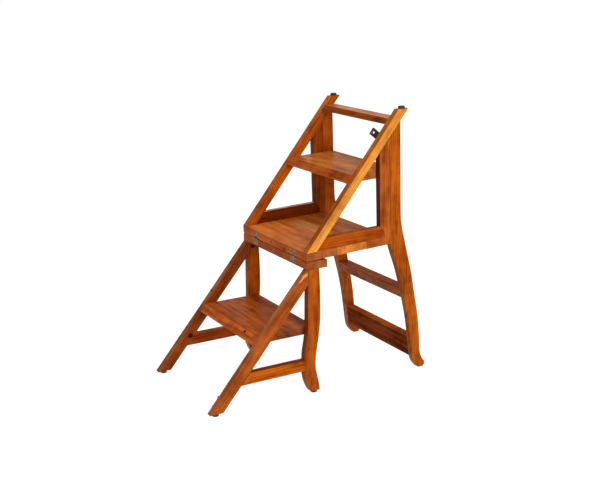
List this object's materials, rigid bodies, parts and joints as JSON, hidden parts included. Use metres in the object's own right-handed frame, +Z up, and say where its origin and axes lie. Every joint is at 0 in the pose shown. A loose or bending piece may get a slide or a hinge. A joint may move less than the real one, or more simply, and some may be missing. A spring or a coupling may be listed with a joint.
{
  "type": "folding step stool chair",
  "caption": "Solid wood chair with a hinged seat, shown opened into a small library step ladder with brass hinges and a swinging latch.",
  "frame": {"origin": "middle of the footprint on the floor, on the plane midway between the two side frames", "axes": "+Z up, +X across the seat towards the side with the latch, +Y from the climbing side towards the curved back posts"},
  "size_m": [0.425, 0.8305, 0.9153],
  "materials": {
    "stringer_wood": "satin varnished hardwood, orange brown",
    "leg_wood": "satin varnished hardwood, orange brown",
    "rail_wood": "satin varnished hardwood, red brown",
    "step_wood": "satin varnished hardwood, red brown",
    "seat_wood": "satin varnished hardwood, brown",
    "back_wood": "satin varnished hardwood, dark red brown",
    "antique_brass": "aged, dull",
    "rubber": "matt, dark brown",
    "black_steel": "satin black"
  },
  "bodies": {
    "base_half": {"front_leg_left": "leg_wood", "front_leg_right": "leg_wood", "hinge_lower_leaf_left": "antique_brass", "hinge_lower_leaf_right": "antique_brass", "latch_bracket": "black_steel", "leg_pad_left": "rubber", "leg_pad_right": "rubber", "lower_side_rail_left": "rail_wood", "lower_side_rail_right": "rail_wood", "lower_step": "step_wood", "lower_stringer_left": "stringer_wood", "lower_stringer_right": "stringer_wood", "seat_front_strip": "seat_wood", "stringer_pad_left": "rubber", "stringer_pad_right": "rubber"},
    "folding_half": {"back_post_left": "leg_wood", "back_post_right": "leg_wood", "back_slat": "back_wood", "crest_rail": "back_wood", "hinge_upper_leaf_left": "antique_brass", "hinge_upper_leaf_right": "antique_brass", "latch_plate": "black_steel", "post_stile_left": "leg_wood", "post_stile_right": "leg_wood", "seat_apron_left": "rail_wood", "seat_apron_right": "rail_wood", "seat_back_board": "seat_wood", "seat_front_board": "seat_wood", "seat_middle_board": "seat_wood", "top_pad_left": "rubber", "top_pad_right": "rubber", "top_rung": "step_wood", "upper_step": "step_wood", "upper_stringer_left": "stringer_wood", "upper_stringer_right": "stringer_wood"},
    "hook": {"latch_hook": "black_steel"}
  },
  "joints": [
    {"name": "fold", "type": "hinge", "parent": "base_half", "child": "folding_half", "pos_m": [0, -0.06815, 0.45], "axis": [1, 0, 0], "range_deg": [0, 177.7]},
    {"name": "latch", "type": "hinge", "parent": "base_half", "child": "hook", "pos_m": [0.1839, -0.36971, 0.04995], "axis": [0, 0.7667, -0.642], "range_deg": [0, 180]}
  ]
}
